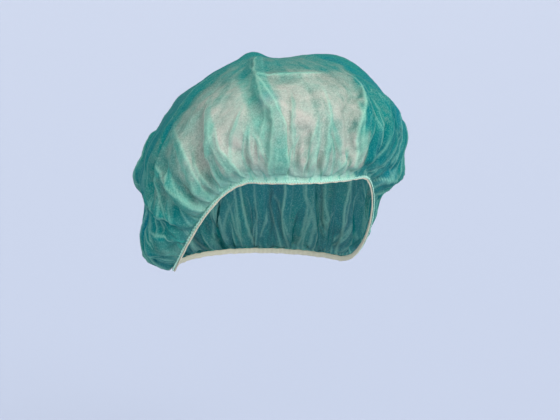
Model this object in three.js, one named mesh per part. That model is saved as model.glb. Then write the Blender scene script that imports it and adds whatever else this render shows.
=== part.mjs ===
// A gathered bouffant cap of thin non-woven cloth, shaped as a head wears it: a balloon of cloth that is
// drawn in all round by a narrow elastic. Millimetres, +Z up. The wearer faces -Y and +X is the wearer's left.
// The origin is in the middle of the head opening, about half way between the rim's heights front and back.
import * as THREE from "three";

// Head opening and the elastic's course round it
const openingWidth = 146;
const openingLength = 186;
const foreheadRise = 39; // rim above the origin at the forehead
const napeDrop = 41; // rim below the origin at the nape
const levelAzimuth = 34; // degrees each side of the front where the rim starts to fall
const napeAzimuth = 110; // degrees each side of the front where it reaches the nape's level

// Crown
const crownWidth = 206;
const crownLength = 248;
const crownSetback = 12; // the crown's middle lies this far behind the opening's
const crownRise = 127; // top of the crown above the origin
const apexSetback = 16;
const clothWall = 1.2;
const hemHeight = 3;

// Elastic
const elasticWidth = 6;
const elasticThickness = 1;
const elasticShows = 3.2; // the part of its width that stands out below the cloth's edge
const seamClearance = 0.3;

// Gathers at the rim, and the long folds that they run into
const gatherCount = 24;
const gatherDepth = 2.6;
const gatherOnset = 0.075; // share of the way to the top over which a gather swells out of the hem
const gatherPeak = 0.08; // share of the way to the top at which the gathers are deepest
const gatherFade = 0.13; // share of the way to the top over which a gather dies out
const foldDepth = 9;
const foldWidth = 13;
const foldOnset = 0.16; // share of the way to the top over which a fold deepens, above the hem
const foldFoot = 0.7; // width of a fold at the rim, as a share of its full width
const foldOpens = 0.7; // share of a fold's length over which it opens to its full width
const foldFades = 0.6; // share of a fold's length over which it dies out
const lipHeight = 0.45; // cloth heaped up beside a crease, as a share of the crease's depth
const lipPlace = 1.5; // distance of that lip from the crease, in fold widths

// Fineness of the faceted surfaces
const stepsRound = 120;
const stepsUp = 22;
const waistStep = 0.4; // share of the steps that lies below the crown's widest line
const hemShare = 1 / stepsUp; // the hem takes the lowest step

const degree = Math.PI / 180;

// One row for each section of the crown, by azimuth in degrees from the front, positive to the wearer's left.
// reach: widest point, as a share of the crown's half size. waist: its height, as a share of crownRise.
// flare: how far the cloth first runs out from the rim, as a share of the way out to the waist.
// pitch: the angle above the level at which it runs out, in degrees.
// belly: how long it stays upright below the waist, as a share of the height from the rim.
// shoulder, top: how square the curve from waist to apex is, as shares of its height and of its reach.
const sections = [
  { azimuth: 0, reach: 0.94, waist: 0.66, flare: 0.7, pitch: 55, belly: 0.45, shoulder: 0.5, top: 0.66 },
  { azimuth: 36, reach: 0.96, waist: 0.6, flare: 0.7, pitch: 50, belly: 0.4, shoulder: 0.5, top: 0.7 },
  { azimuth: 72, reach: 1, waist: 0.53, flare: 0.55, pitch: 42, belly: 0.34, shoulder: 0.42, top: 0.78 },
  { azimuth: 108, reach: 1, waist: 0.45, flare: 0.6, pitch: 16, belly: 0.46, shoulder: 0.42, top: 0.66 },
  { azimuth: 144, reach: 0.98, waist: 0.32, flare: 0.8, pitch: -10, belly: 0.54, shoulder: 0.46, top: 0.56 },
  { azimuth: 180, reach: 0.98, waist: 0.24, flare: 0.9, pitch: -20, belly: 0.6, shoulder: 0.48, top: 0.5 },
  { azimuth: -144, reach: 0.97, waist: 0.26, flare: 0.9, pitch: -22, belly: 0.6, shoulder: 0.38, top: 0.42 },
  { azimuth: -108, reach: 0.95, waist: 0.32, flare: 0.85, pitch: -16, belly: 0.62, shoulder: 0.28, top: 0.4 },
  { azimuth: -72, reach: 0.94, waist: 0.42, flare: 0.7, pitch: 8, belly: 0.5, shoulder: 0.3, top: 0.46 },
  { azimuth: -36, reach: 0.94, waist: 0.56, flare: 0.7, pitch: 40, belly: 0.45, shoulder: 0.42, top: 0.56 },
];

// One row for each long fold. azimuth: where it leaves the rim, in degrees. drift: degrees it has turned
// where it ends. end: share of the way from the rim to the apex. depth, width: shares of foldDepth and
// foldWidth. side: 1 or -1, the side of the crease on which its lip lies.
const folds = [
  { azimuth: -100, drift: -16, end: 0.5, depth: 0.7, width: 0.8, side: 1 },
  { azimuth: -84, drift: -20, end: 0.56, depth: 1, width: 0.9, side: -1 },
  { azimuth: -70, drift: -22, end: 0.62, depth: 1, width: 0.8, side: 1 },
  { azimuth: -57, drift: -12, end: 0.8, depth: 0.9, width: 1, side: -1 },
  { azimuth: -42, drift: -10, end: 0.62, depth: 0.8, width: 0.8, side: 1 },
  { azimuth: -25, drift: 3, end: 0.98, depth: 1, width: 1.3, side: -1 },
  { azimuth: -12, drift: -14, end: 0.8, depth: 0.6, width: 0.7, side: -1 },
  { azimuth: 2, drift: 4, end: 0.4, depth: 0.4, width: 0.7, side: 1 },
  { azimuth: 13, drift: 4, end: 0.5, depth: 0.5, width: 0.7, side: 1 },
  { azimuth: 26, drift: 11, end: 0.8, depth: 0.9, width: 0.9, side: -1 },
  { azimuth: 44, drift: -4, end: 0.6, depth: 0.7, width: 1, side: 1 },
  { azimuth: 57, drift: -16, end: 0.56, depth: 0.7, width: 0.8, side: 1 },
  { azimuth: 70, drift: -6, end: 0.5, depth: 0.9, width: 0.8, side: -1 },
  { azimuth: 84, drift: 8, end: 0.7, depth: 0.9, width: 0.9, side: 1 },
  { azimuth: 100, drift: 5, end: 0.5, depth: 0.8, width: 0.8, side: -1 },
  { azimuth: 116, drift: 12, end: 0.76, depth: 1, width: 1.1, side: 1 },
  { azimuth: 133, drift: 4, end: 0.52, depth: 0.7, width: 0.8, side: -1 },
  { azimuth: 149, drift: -7, end: 0.68, depth: 0.9, width: 1, side: 1 },
  { azimuth: 166, drift: 5, end: 0.56, depth: 0.8, width: 0.8, side: -1 },
  { azimuth: 182, drift: 8, end: 0.78, depth: 1, width: 1.1, side: 1 },
  { azimuth: 198, drift: -6, end: 0.5, depth: 0.7, width: 0.8, side: 1 },
  { azimuth: 213, drift: 7, end: 0.7, depth: 0.9, width: 1, side: -1 },
  { azimuth: 229, drift: -5, end: 0.52, depth: 0.8, width: 0.8, side: 1 },
  { azimuth: 244, drift: 6, end: 0.72, depth: 0.9, width: 1, side: -1 },
];

// One row for each dent, or swelling where the depth is negative. azimuth: in degrees. place: share of the
// way from the rim to the apex. level, tall: how far it spreads on the level and in height, as shares of
// crownRise. depth: share of foldDepth.
const dents = [
  { azimuth: -110, place: 0.93, level: 0.12, tall: 0.2, depth: -0.35 },
  { azimuth: 70, place: 0.975, level: 0.13, tall: 0.2, depth: 0.4 },
  { azimuth: 60, place: 0.8, level: 0.24, tall: 0.16, depth: -0.75 },
  { azimuth: 70, place: 0.62, level: 0.24, tall: 0.1, depth: 0.5 },
  { azimuth: -108, place: 0.33, level: 0.3, tall: 0.12, depth: 1.1 },
  { azimuth: -128, place: 0.2, level: 0.3, tall: 0.07, depth: -0.2 },
  { azimuth: 66, place: 0.24, level: 0.14, tall: 0.05, depth: 0.3 },
  { azimuth: 150, place: 0.66, level: 0.3, tall: 0.16, depth: 0.7 },
  { azimuth: 208, place: 0.6, level: 0.26, tall: 0.14, depth: 0.6 },
];

// How the gathers vary round the rim: sine waves, each with its count round the rim and the degrees that it
// starts at. size: in gatherWander degrees of one gather's spacing, and in gatherUneven a share of its depth.
const gatherWander = [
  { count: 3, size: 40, start: 0 },
  { count: 7, size: 26, start: 57 },
];
const gatherUneven = { count: 5, size: 0.25, start: 115 };

// Shapes of single numbers
const clamp01 = (x) => Math.min(Math.max(x, 0), 1);
const smooth = (x) => clamp01(x) ** 2 * (3 - 2 * clamp01(x));
const bell = (x) => Math.exp(-x * x);
const turned = (degrees) => ((((degrees + 180) % 360) + 360) % 360) - 180; // brought to -180..180

// Value of one column of the sections at an azimuth, on a smooth closed curve through the rows.
function sectionValue(column, azimuth) {
  const rows = sections.length;
  const spacing = 360 / rows;
  const place = (((azimuth % 360) + 360) % 360) / spacing;
  const row = Math.floor(place);
  const share = place - row;
  const [a, b, c, d] = [-1, 0, 1, 2].map((k) => sections[(row + k + rows) % rows][column]);
  const slopeB = (c - a) / 2;
  const slopeC = (d - b) / 2;
  const cubic = 2 * b - 2 * c + slopeB + slopeC;
  const square = -3 * b + 3 * c - 2 * slopeB - slopeC;
  return ((cubic * share + square) * share + slopeB) * share + b;
}

// Height of the rim's lower edge at an azimuth: level over the forehead, down past the ears, level at the nape.
function rimHeight(azimuth) {
  const fall = smooth((Math.abs(turned(azimuth)) - levelAzimuth) / (napeAzimuth - levelAzimuth));
  return foreheadRise - (foreheadRise + napeDrop) * fall;
}

// Point of the rim, stood off outwards from the opening and raised from its lower edge.
function rimPoint(azimuth, standOff, raise) {
  const [sin, cos] = [Math.sin(azimuth * degree), Math.cos(azimuth * degree)];
  const [halfWidth, halfLength] = [openingWidth / 2, openingLength / 2];
  const out = new THREE.Vector2(sin / halfWidth, -cos / halfLength).normalize();
  return new THREE.Vector3(
    halfWidth * sin + out.x * standOff,
    -halfLength * cos + out.y * standOff,
    rimHeight(azimuth) + raise,
  );
}

// The crown's outer surface before it is folded: up the hem, out to the waist and over to the apex.
function plainCrown(azimuth, up) {
  const standOff = elasticThickness + seamClearance + clothWall;
  const hemFoot = rimPoint(azimuth, standOff, elasticShows);
  const hemTop = rimPoint(azimuth, standOff, elasticShows + hemHeight);
  const value = (column) => sectionValue(column, azimuth);
  const [sin, cos] = [Math.sin(azimuth * degree), Math.cos(azimuth * degree)];
  const waist = new THREE.Vector3(
    (crownWidth / 2) * value("reach") * sin,
    crownSetback - (crownLength / 2) * value("reach") * cos,
    crownRise * value("waist"),
  );
  const apex = new THREE.Vector3(0, apexSetback, crownRise);
  if (up <= hemShare) return hemFoot.lerp(hemTop, up / hemShare);
  if (up <= waistStep) {
    const out = new THREE.Vector3(waist.x - hemTop.x, waist.y - hemTop.y, 0);
    const run = out.length() * value("flare");
    const pitch = value("pitch") * degree;
    const leave = out.setLength(run * Math.cos(pitch)).add(hemTop);
    leave.z += run * Math.sin(pitch);
    const arrive = waist.clone();
    arrive.z -= (waist.z - hemTop.z) * value("belly");
    const lower = new THREE.CubicBezierCurve3(hemTop, leave, arrive, waist);
    return lower.getPoint((up - hemShare) / (waistStep - hemShare));
  }
  const rise = waist.clone();
  rise.z += (apex.z - waist.z) * value("shoulder");
  const over = new THREE.Vector3(waist.x, waist.y, apex.z).lerp(apex, 1 - value("top"));
  const upper = new THREE.CubicBezierCurve3(waist, rise, over, apex);
  return upper.getPoint((up - waistStep) / (1 - waistStep));
}

// Steps over which a normal is taken, each way: degrees round and share of the way up
const broadStep = { turn: 4, lift: 0.04 };
const wallStep = { turn: 180 / stepsRound, lift: 0.5 / stepsUp };

// Outward normal of a surface given by a function of azimuth and up.
function normalOf(surface, azimuth, up, { turn, lift }) {
  const middle = Math.min(up, 1 - lift);
  const round = surface(azimuth + turn, middle).sub(surface(azimuth - turn, middle));
  const along = surface(azimuth, middle + lift).sub(surface(azimuth, Math.max(middle - lift, 0)));
  return round.cross(along).normalize();
}

// How far the gathers stand out from the plain surface.
function gathersOut(azimuth, up) {
  const swing = ({ count, size, start }) => size * Math.sin((count * azimuth + start) * degree);
  const phase = gatherWander.reduce((sum, row) => sum + swing(row), gatherCount * azimuth);
  const wave = (1 - Math.cos(phase * degree)) / 2;
  const height = 1 - gatherUneven.size + swing(gatherUneven);
  return gatherDepth * height * wave * smooth(up / gatherOnset) * bell((up - gatherPeak) / gatherFade);
}

// How far the long folds draw the cloth in. A fold is narrow at the rim and opens as it climbs.
function foldsIn(azimuth, up, radius) {
  let sum = 0;
  for (const fold of folds) {
    const share = up / fold.end;
    if (share >= 1) continue;
    const centre = fold.azimuth + fold.drift * share;
    const away = turned(azimuth - centre) * degree * radius;
    const width = foldWidth * fold.width * (foldFoot + (1 - foldFoot) * smooth(share / foldOpens));
    const strength = fold.depth * smooth((up - hemShare) / foldOnset) * smooth((1 - share) / foldFades);
    const lip = lipHeight * bell((away - fold.side * lipPlace * width) / width);
    sum += strength * (bell(away / width) - lip);
  }
  return foldDepth * sum;
}

const dentMiddles = dents.map((dent) => plainCrown(dent.azimuth, dent.place));

// How far the dents draw the cloth in at a point of the plain crown.
function dentsIn(point) {
  const one = ({ level, tall, depth }, middle) => {
    const aside = Math.hypot(point.x - middle.x, point.y - middle.y) / (level * crownRise);
    return depth * bell(aside) * bell((point.z - middle.z) / (tall * crownRise));
  };
  return foldDepth * dents.reduce((sum, dent, k) => sum + one(dent, dentMiddles[k]), 0);
}

// The crown's outer surface as it is worn.
function crownSurface(azimuth, up) {
  const plain = plainCrown(azimuth, up);
  const radius = Math.hypot(plain.x, plain.y - apexSetback * up);
  const out = gathersOut(azimuth, up) - foldsIn(azimuth, up, radius) - dentsIn(plain);
  return plain.addScaledVector(normalOf(plainCrown, azimuth, up, broadStep), out);
}

// Triangles between rings of points, split along the shorter diagonal. A ring of one point closes an end.
function skin(rings) {
  const points = rings.flat();
  const triangles = [];
  let start = 0;
  for (let r = 0; r + 1 < rings.length; r += 1) {
    const [lower, upper] = [rings[r].length, rings[r + 1].length];
    const next = start + lower;
    for (let k = 0; k < Math.max(lower, upper); k += 1) {
      const [a, b] = [k, k + 1].map((i) => start + (i % lower));
      const [c, d] = [k, k + 1].map((i) => next + (i % upper));
      const rising = points[a].distanceTo(points[d]) < points[b].distanceTo(points[c]);
      if (lower === 1) triangles.push(a, d, c);
      else if (upper === 1) triangles.push(a, b, d);
      else if (rising) triangles.push(a, b, d, a, d, c);
      else triangles.push(a, b, c, b, d, c);
    }
    start = next;
  }
  const geometry = new THREE.BufferGeometry().setFromPoints(points);
  geometry.setIndex(triangles);
  geometry.computeVertexNormals();
  return geometry;
}

const azimuths = Array.from({ length: stepsRound }, (_, k) => (360 * k) / stepsRound);

// The crown: one wall of cloth, from the inner apex down to the rim and back up outside to the outer apex.
function crownGeometry() {
  const outerRings = [];
  const innerRings = [];
  for (let step = 0; step < stepsUp; step += 1) {
    const up = step / stepsUp;
    outerRings.push(azimuths.map((azimuth) => crownSurface(azimuth, up)));
    innerRings.push(
      azimuths.map((azimuth) =>
        crownSurface(azimuth, up).addScaledVector(normalOf(crownSurface, azimuth, up, wallStep), -clothWall),
      ),
    );
  }
  const outerApex = crownSurface(0, 1);
  const innerApex = outerApex.clone();
  innerApex.z -= clothWall;
  return skin([[innerApex], ...innerRings.reverse(), ...outerRings, [outerApex]]);
}

// The elastic: a flat strip that lies on the head, its upper edge behind the hem.
function elasticGeometry() {
  const corners = [
    { standOff: 0, raise: 0 },
    { standOff: elasticThickness, raise: 0 },
    { standOff: elasticThickness, raise: elasticWidth },
    { standOff: 0, raise: elasticWidth },
    { standOff: 0, raise: 0 },
  ];
  const ring = ({ standOff, raise }) => azimuths.map((azimuth) => rimPoint(azimuth, standOff, raise));
  return skin(corners.map(ring));
}

function named(name, geometry, color, roughness) {
  const mesh = new THREE.Mesh(geometry, new THREE.MeshStandardMaterial({ color, roughness, metalness: 0 }));
  mesh.name = name;
  return mesh;
}

const cap = new THREE.Group();
cap.add(named("crown", crownGeometry(), 0x5fb3a6, 0.85));
cap.add(named("elastic_band", elasticGeometry(), 0xd9d6c4, 0.8));

export default cap;
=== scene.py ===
# Looks of a gathered bouffant cap of spunbond cloth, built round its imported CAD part. Metres, +Z up.
import math

import bpy
import numpy as np
from mathutils import Matrix


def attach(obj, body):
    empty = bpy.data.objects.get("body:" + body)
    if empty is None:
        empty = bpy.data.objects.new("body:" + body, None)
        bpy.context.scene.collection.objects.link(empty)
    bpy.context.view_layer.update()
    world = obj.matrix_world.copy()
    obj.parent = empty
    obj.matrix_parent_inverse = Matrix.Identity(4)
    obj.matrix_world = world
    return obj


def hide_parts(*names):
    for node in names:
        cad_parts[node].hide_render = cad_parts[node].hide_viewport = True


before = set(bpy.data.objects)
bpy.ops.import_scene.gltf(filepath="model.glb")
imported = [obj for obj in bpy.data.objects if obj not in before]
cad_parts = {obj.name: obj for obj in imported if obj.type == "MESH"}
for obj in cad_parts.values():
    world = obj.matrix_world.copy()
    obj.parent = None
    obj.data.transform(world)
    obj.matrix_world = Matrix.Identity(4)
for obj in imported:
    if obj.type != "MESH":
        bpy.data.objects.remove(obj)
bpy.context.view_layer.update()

mm = 0.001

# The worn shape in millimetres. The opening and the crown's first two rows have the CAD source's own values.
opening = {
    "width": 146, "length": 186, "foreheadRise": 39, "napeDrop": 41,
    "levelAzimuth": 34, "napeAzimuth": 110,  # the rim falls between these two, in degrees from the front
}
crown = {
    "width": 206, "length": 248, "rise": 127,
    "setback": 12, "apexSetback": 16,  # how far the middle and the apex lie behind the opening's middle
    "standOff": 1.7, "hemFoot": 1.3, "hemTop": 4.8,  # the hem: out from the rim line, its foot and its top
    "gridSide": 100,  # points along one side of the cloth's grid while it is simulated
    "finer": 3,  # how many times finer the finished grid is
    "flatRadius": 228.5,  # an 18 inch round blank
    "waver": 0.9,  # how far a fold's edge strays from its smooth line, in mm
    "foldsFirst": 0.6,  # share of a fold's lift that the start shape has; creases["foldEdge"] is the rest
    "evened": 0.85,  # how far the heights are evened out, so that folds stand out and sink in alike
    "evenedOver": 5,  # grid points over which they are evened out
}
# one row every 36 degrees from the front towards the wearer's left
sections = np.array([
    # reach, waist, flare, pitch, belly, shoulder, top
    (0.94, 0.66, 0.70, 55, 0.45, 0.50, 0.66),
    (0.96, 0.60, 0.70, 50, 0.40, 0.50, 0.70),
    (1.00, 0.53, 0.55, 42, 0.34, 0.42, 0.78),
    (1.00, 0.45, 0.60, 16, 0.46, 0.42, 0.66),
    (0.98, 0.32, 0.80, -10, 0.54, 0.46, 0.56),
    (0.98, 0.24, 0.90, -20, 0.60, 0.48, 0.50),
    (0.97, 0.26, 0.90, -22, 0.60, 0.38, 0.42),
    (0.95, 0.32, 0.85, -16, 0.62, 0.28, 0.40),
    (0.94, 0.42, 0.70, 8, 0.50, 0.30, 0.46),
    (0.94, 0.56, 0.70, 40, 0.45, 0.42, 0.56),
])
# swellings (out above 0) and dents. azimuth: degrees. share: of the way up. level and tall: spread on the
# level and in height, in mm. out: how far, in mm.
dents = [
    # azimuth, share, level, tall, out
    (-135, 0.93, 18, 26, 3.0),
    (120, 0.965, 22, 26, -5.2),
    (70, 0.73, 30, 11, 5.2),
    (66, 0.46, 24, 11, -6.6),
    (66, 0.30, 22, 10, 3.0),
    (72, 0.21, 18, 8, 3.6),
    (76, 0.15, 20, 8, -12.5),
    (84, 0.14, 17, 7, -8.0),
    (-109, 0.12, 24, 9, 2.0),
    (-110, 0.26, 30, 14, -12.5),
    (-109, 0.44, 24, 12, -6.6),
    (-119, 0.68, 20, 10, 1.4),
    (-112, 0.32, 22, 8, -4.5),
    (-125, 0.88, 9, 20, -3.4),
    (-160, 0.955, 10, 20, 2.9),
    (8, 0.86, 14, 20, -2.6),
]


# Eased step: 0 up to 0, 1 from 1, and between them three times the square less twice the cube
def smooth(x):
    x = np.clip(x, 0, 1)
    return x * x * (3 - 2 * x)


# Bell curve: e to the power of minus the square
def bell(x):
    return np.exp(-x * x)


def turned(degrees):  # brought to -180..180
    return (degrees + 180) % 360 - 180


# Vectors divided by their own length
def unit(v):
    return v / (np.linalg.norm(v, axis=-1, keepdims=True) + 1e-12)


# Mean of four neighbours in a table, weighted by the place between them: s along each pair, t from pair to
# pair
def between(low, lowNext, high, highNext, s, t):
    return (low * (1 - s) + lowNext * s) * (1 - t) + (high * (1 - s) + highNext * s) * t


# Cubic curve from b to c at the share s of the way, with slopes from the neighbours a and d
def throughPoints(a, b, c, d, s):
    square, cube = s ** 2, s ** 3
    return 0.5 * (2 * b + (c - a) * s + (2 * a - 5 * b + 4 * c - d) * square + (3 * b - a - 3 * c + d) * cube)


# Smooth closed curve through the rows of the sections, read at each azimuth
def sectionAt(azimuth):
    place = (azimuth % 360) / 36
    row = np.floor(place).astype(int)
    s = (place - row)[:, None]
    a, b, c, d = (sections[(row + k) % 10] for k in (-1, 0, 1, 2))
    sb, sc = (c - a) / 2, (d - b) / 2
    return (((2 * b - 2 * c + sb + sc) * s + (3 * c - 3 * b - 2 * sb - sc)) * s + sb) * s + b


# Height of the rim: level over the forehead, falling past the ears, level at the nape
def rimHeight(azimuth):
    span = opening["napeAzimuth"] - opening["levelAzimuth"]
    fall = smooth((np.abs(turned(azimuth)) - opening["levelAzimuth"]) / span)
    return opening["foreheadRise"] - (opening["foreheadRise"] + opening["napeDrop"]) * fall


# Point of the rim: an ellipse on plan at the rim's height, moved out along the ellipse's normal and up
def rimPoint(azimuth, out, up):
    a = np.radians(azimuth)
    halfWidth, halfLength = opening["width"] / 2, opening["length"] / 2
    normal = unit(np.stack([np.sin(a) / halfWidth, -np.cos(a) / halfLength], -1))
    return np.stack([
        halfWidth * np.sin(a) + normal[..., 0] * out,
        -halfLength * np.cos(a) + normal[..., 1] * out,
        rimHeight(azimuth) + up,
    ], -1)


# Cubic Bezier curves, one for each row of the four given points, read at every share t
def bezier(a, b, c, d, t):
    t = t[None, :, None]
    a, b, c, d = (q[:, None, :] for q in (a, b, c, d))
    return a * (1 - t) ** 3 + 3 * b * t * (1 - t) ** 2 + 3 * c * t * t * (1 - t) + d * t ** 3


# Table of the unfolded crown: for each azimuth two cubic curves, rim to waist and waist to apex, read at
# equal steps of their length
def crownTable(rows=720, samples=241, lowerSteps=90, upperSteps=160):
    azimuth = np.arange(rows) * 360 / rows
    reach, waistShare, flare, pitch, belly, shoulder, top = sectionAt(azimuth).T
    a = np.radians(azimuth)
    foot = rimPoint(azimuth, crown["standOff"], crown["hemFoot"])
    hem = rimPoint(azimuth, crown["standOff"], crown["hemTop"])
    waist = np.stack([
        crown["width"] / 2 * reach * np.sin(a),
        crown["setback"] - crown["length"] / 2 * reach * np.cos(a),
        crown["rise"] * waistShare,
    ], -1)
    apex = np.tile([0.0, crown["apexSetback"], crown["rise"]], (rows, 1))
    out = (waist - hem) * (1, 1, 0)
    run = np.linalg.norm(out, axis=1) * flare
    leave = hem + unit(out) * (run * np.cos(np.radians(pitch)))[:, None]
    leave[:, 2] += run * np.sin(np.radians(pitch))
    arrive = waist - np.outer((waist[:, 2] - hem[:, 2]) * belly, (0, 0, 1))
    rise = waist + np.outer((apex[:, 2] - waist[:, 2]) * shoulder, (0, 0, 1))
    over = waist * (1, 1, 0) + apex * (0, 0, 1)
    over = over + (apex - over) * (1 - top)[:, None]
    lower = bezier(hem, leave, arrive, waist, np.linspace(0, 1, lowerSteps))
    upper = bezier(waist, rise, over, apex, np.linspace(0, 1, upperSteps))
    line = np.concatenate([foot[:, None], lower, upper[:, 1:]], 1)
    steps = np.linalg.norm(np.diff(line, axis=1), axis=2)
    arc = np.concatenate([np.zeros((rows, 1)), np.cumsum(steps, 1)], 1)
    want = np.linspace(0, 1, samples)
    return np.stack([
        np.stack([np.interp(want, arc[i] / arc[i, -1], line[i, :, k]) for k in range(3)], -1)
        for i in range(rows)
    ])


# A table read between its rows and columns, closed round the azimuth
def readTable(table, azimuth, share):
    rows, samples = table.shape[:2]
    u = (azimuth % 360) * rows / 360
    v = np.clip(share, 0, 1) * (samples - 1)
    i, j = np.floor(u).astype(int), np.minimum(np.floor(v).astype(int), samples - 2)
    s, t = u - i, v - j
    if table.ndim == 3:
        s, t = s[..., None], t[..., None]
    i, k = i % rows, (i + 1) % rows
    return between(table[i, j], table[k, j], table[i, j + 1], table[k, j + 1], s, t)


# Outward normals of a table: the cross product of its direction round and its direction up, straight up at
# the apex
def tableNormals(table, apart=8, atApex=3):
    along = np.roll(table, -apart, 0) - np.roll(table, apart, 0)
    up = np.gradient(table, axis=1)
    normals = unit(np.cross(along, up))
    normals[:, -atApex:] = (0, 0, 1)
    return normals


# Square grid laid on a disc without a pole: each square ring becomes a circle. Gives azimuth and the share of
# the way from rim to apex for every grid point.
def discGrid(side):
    a, b = np.meshgrid(np.linspace(-1, 1, side), np.linspace(-1, 1, side), indexing="ij")
    wide = np.abs(a) > np.abs(b)
    radius = np.where(wide, a, b)
    safe = np.where(np.abs(radius) < 1e-9, 1, radius)
    turn = np.where(wide, math.pi / 4 * b / safe, math.pi / 2 - math.pi / 4 * a / safe)
    x, y = radius * np.cos(turn), radius * np.sin(turn)
    return np.degrees(np.arctan2(x, -y)), 1 - np.hypot(x, y)


plainTable = crownTable()
plainNormals = tableNormals(plainTable)
print("plain crown worked out")


# Long folds, as the cloth's edges lie over each other. path: azimuth in degrees and share of the way up.
# lift: how far the upper cloth stands over the lower, reach: how far it takes to come back down, band: how
# broad the double cloth is, all in mm. side: which way it falls slowly.
foldRows = [
    # path, lift, reach, side, band
    ([(-58.5, 0.0), (-56, 0.14), (-61, 0.29), (-76, 0.50)], 6.0, 20, 1),
    ([(-53.5, 0.0), (-47.5, 0.10), (-50, 0.32), (-61, 0.60)], 5.0, 20, -1),
    ([(-39, 0.0), (-38, 0.10), (-41.5, 0.20), (-46, 0.33)], 3.6, 14, 1),
    ([(-24.5, 0.0), (-20.5, 0.28), (-25, 0.40), (-38, 0.82), (-60, 0.95)], 5.2, 20, -1),
    ([(-15.5, 0.0), (-15.5, 0.15), (-16.5, 0.27), (-27, 0.52), (-50, 0.86)], 3.6, 22, 1, 17),
    ([(8, 0.0), (11, 0.075), (15, 0.17)], 2.4, 10, -1),
    ([(20, 0.0), (17.5, 0.14), (19.5, 0.26), (29, 0.42), (38, 0.62)], 6.0, 22, -1),
    ([(40, 0.0), (33, 0.10), (31.5, 0.21), (34, 0.34)], 3.4, 13, 1),
    ([(-64, 0.0), (-64.5, 0.13), (-73, 0.26), (-84, 0.40)], 6.5, 14, 1),
    ([(-78, 0.0), (-76, 0.11), (-87, 0.24), (-90, 0.33)], 5.5, 14, -1),
    ([(-84.5, 0.0), (-84, 0.09), (-94, 0.18)], 4.5, 12, 1),
    ([(-91, 0.0), (-92, 0.07), (-104, 0.15)], 4.5, 12, -1),
    ([(-48.5, 0.0), (-45.5, 0.08), (-45, 0.20)], 2.6, 10, -1),
    ([(-70, 0.0), (-66, 0.09), (-69, 0.24), (-71, 0.35)], 3.4, 11, -1),
    ([(-30, 0.56), (-20, 0.545), (-8, 0.53), (6, 0.53), (22, 0.548)], 2.6, 9, 1),
    ([(50, 0.0), (56, 0.08), (70, 0.20)], 4.2, 13, -1),
    ([(47, 0.0), (47.5, 0.08), (49, 0.19), (58, 0.34)], 4.4, 14, 1),
    ([(62, 0.0), (66, 0.10), (80, 0.26), (84, 0.42)], 5.2, 16, -1),
    ([(78, 0.0), (84, 0.16), (82, 0.36), (92, 0.52)], 5.6, 18, 1),
    ([(96, 0.0), (101, 0.14), (112, 0.33)], 5.0, 16, -1),
    ([(112, 0.0), (118, 0.18), (117, 0.40), (130, 0.64)], 6.4, 20, 1),
    ([(129, 0.0), (134, 0.16), (133, 0.36)], 5.0, 15, -1),
    ([(146, 0.0), (149, 0.20), (144, 0.42), (138, 0.60)], 6.0, 18, 1),
    ([(162, 0.0), (167, 0.17), (171, 0.38)], 5.2, 16, -1),
    ([(178, 0.0), (182, 0.20), (190, 0.46), (188, 0.70)], 6.4, 20, 1),
    ([(194, 0.0), (199, 0.15), (196, 0.34)], 5.0, 14, -1),
    ([(208, 0.0), (213, 0.22), (220, 0.45), (218, 0.62)], 6.0, 18, 1),
    ([(224, 0.0), (229, 0.14), (226, 0.36)], 5.2, 15, -1),
    ([(240, 0.0), (245, 0.18), (251, 0.44), (246, 0.66)], 6.2, 18, 1),
    ([(254, 0.0), (258, 0.12), (256, 0.28)], 4.8, 13, -1),
]
folds = [dict(zip(("path", "lift", "reach", "side", "band"), row)) for row in foldRows]
# Form that all folds have, as shares of their own lift, reach and line
foldForm = {
    "footReach": 0.35, "widening": 2.2,  # reach at the foot, and how soon along the line it is full
    "steepSide": 0.24,  # reach of the side that falls steeply
    "hollow": (0.35, 0.45, 0.3),  # the hollow past the steep side: depth, place and width
    "fadeEnd": 0.45, "fadeFoot": 0.12, "footLeft": 0.25,  # where the height fades, and what the foot keeps
    "markEnd": 0.3,  # where the edge's mark fades
    "band": 0.3, "bandTaper": (0.55, 0.6),  # breadth of the double cloth, where it narrows and by how much
    "farLip": 0.2,  # how much of a mark the band's far edge has
}
# small folds set at random: where they may start and how far they run, as shares of the way up
smallRows = {
    "fromRim": {"count": 120, "seed": 21, "feet": [0.0, 0.0, 0.03, 0.12], "runs": (0.07, 0.34)},
    "overBack": {"count": 44, "seed": 23, "feet": [0.12, 0.25, 0.4, 0.55], "runs": (0.25, 0.4)},
}
smoothFront = {"azimuth": -20, "half": 62}  # degrees: folds over the back keep clear of it
# Gathers where the elastic draws the cloth in, coarse to fine: how many round the rim, how far up they run
# as a share of the way, how far out they stand in mm
gathers = [
    {"count": 26, "run": 0.30, "out": 2.6},
    {"count": 58, "run": 0.15, "out": 2.2},
    {"count": 112, "run": 0.06, "out": 1.2},
]
simulation = {
    "frames": 22,
    "heldBelow": 0.004,  # share of the way up under which the cloth is held fast
    "hold": 0.03,  # how firmly it is held to the worn shape above that
    "holdStiffness": 4.0,
    "spareAtRim": 0.17,  # how much longer the cloth is than the worn shape near the rim, as a share
    "spareAtTop": 0.02,
    "spareSteps": 20,  # steps in which the one turns into the other
    "pressure": 0.7,
    "broad": 3,  # grid points: movement smooth over more than this is taken back, to the share below
    "takenBack": 1.0,
    "frontCalm": 0.5,  # share of the fine movement left out where the cloth is drawn smooth over the forehead
    "calmAzimuth": -18, "calmSpread": 62,  # degrees
}


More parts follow.
